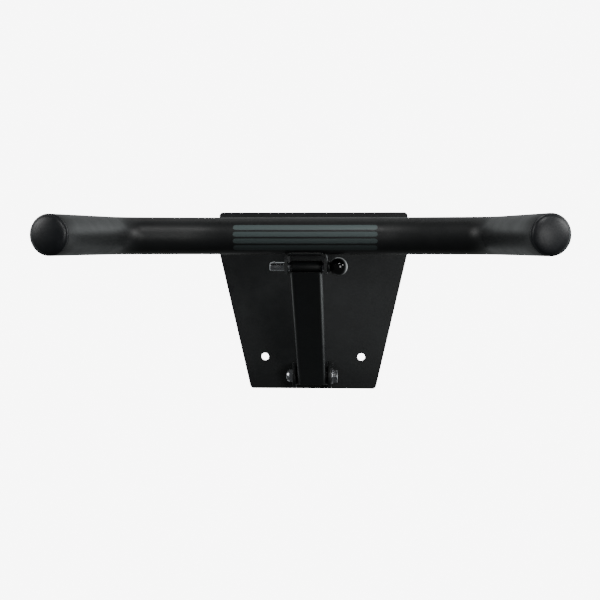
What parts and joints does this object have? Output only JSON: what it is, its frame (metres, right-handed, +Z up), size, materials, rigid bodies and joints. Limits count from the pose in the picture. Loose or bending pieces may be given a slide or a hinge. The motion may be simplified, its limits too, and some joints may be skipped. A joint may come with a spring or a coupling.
{
  "type": "pull up bar",
  "caption": "Wall-mounted folding pull up bar: a hinged arm carries a bent grip bar with forward handles, propped by a hinged strut that a ball-knob pin locks.",
  "frame": {"origin": "centre of the wall plate's back face, on the wall", "axes": "+X along the grip bar to the ball knob's side, +Y into the wall, +Z up"},
  "size_m": [0.6404, 0.4789, 0.282],
  "materials": {
    "powder_coat_black": "fine-texture satin powder coat",
    "bar_coat_black": "smooth satin powder coat",
    "zinc_plated_steel": "bright zinc plate",
    "spring_steel": "polished",
    "cap_plastic": "satin moulded plastic",
    "bush_nylon": "black nylon, smooth",
    "knob_gloss_black": "polished phenolic",
    "insert_brass": "turned",
    "print_grey": "screen-printed ink"
  },
  "bodies": {
    "wall_mount": {"wall_plate": "powder_coat_black", "upper_lug_left": "powder_coat_black", "upper_lug_right": "powder_coat_black", "lower_lug_left": "powder_coat_black", "lower_lug_right": "powder_coat_black", "upper_hinge_bolt": "zinc_plated_steel", "upper_hinge_washer": "zinc_plated_steel", "upper_hinge_nut": "zinc_plated_steel", "lower_hinge_bolt": "zinc_plated_steel", "lower_hinge_washer": "zinc_plated_steel", "lower_hinge_nut": "zinc_plated_steel"},
    "arm": {"arm_tube": "powder_coat_black", "arm_hinge_tube": "powder_coat_black", "arm_bush_left": "bush_nylon", "arm_bush_right": "bush_nylon", "grip_bar": "bar_coat_black", "end_cap_left": "cap_plastic", "end_cap_right": "cap_plastic", "pin_bracket": "powder_coat_black"},
    "strut": {"strut_tube": "powder_coat_black", "strut_hinge_tube": "powder_coat_black", "strut_bush_left": "bush_nylon", "strut_bush_right": "bush_nylon", "strut_pin_sleeve": "powder_coat_black"},
    "pull_pin": {"pull_pin_shaft": "zinc_plated_steel", "pull_pin_collar": "powder_coat_black", "pull_pin_knob": "knob_gloss_black", "pull_pin_insert": "insert_brass", "detent_ball": "spring_steel", "detent_spring": "spring_steel"}
  },
  "joints": [
    {"name": "arm_fold", "type": "hinge", "parent": "wall_mount", "child": "arm", "pos_m": [0, -0.035, 0.1], "axis": [-1, 0, 0], "range_deg": [0, 90]},
    {"name": "strut_swing", "type": "hinge", "parent": "wall_mount", "child": "strut", "pos_m": [0, -0.035, -0.117], "axis": [1, 0, 0], "range_deg": [0, 131.5]},
    {"name": "pin_pull", "type": "slide", "parent": "arm", "child": "pull_pin", "axis": [1, 0, 0], "range_m": [0, 0.085], "deforming": ["detent_spring", "detent_ball"]}
  ],
  "couplings": [
    {"joint": "strut_swing", "follows": "arm_fold", "ratio": 1.4603}
  ]
}
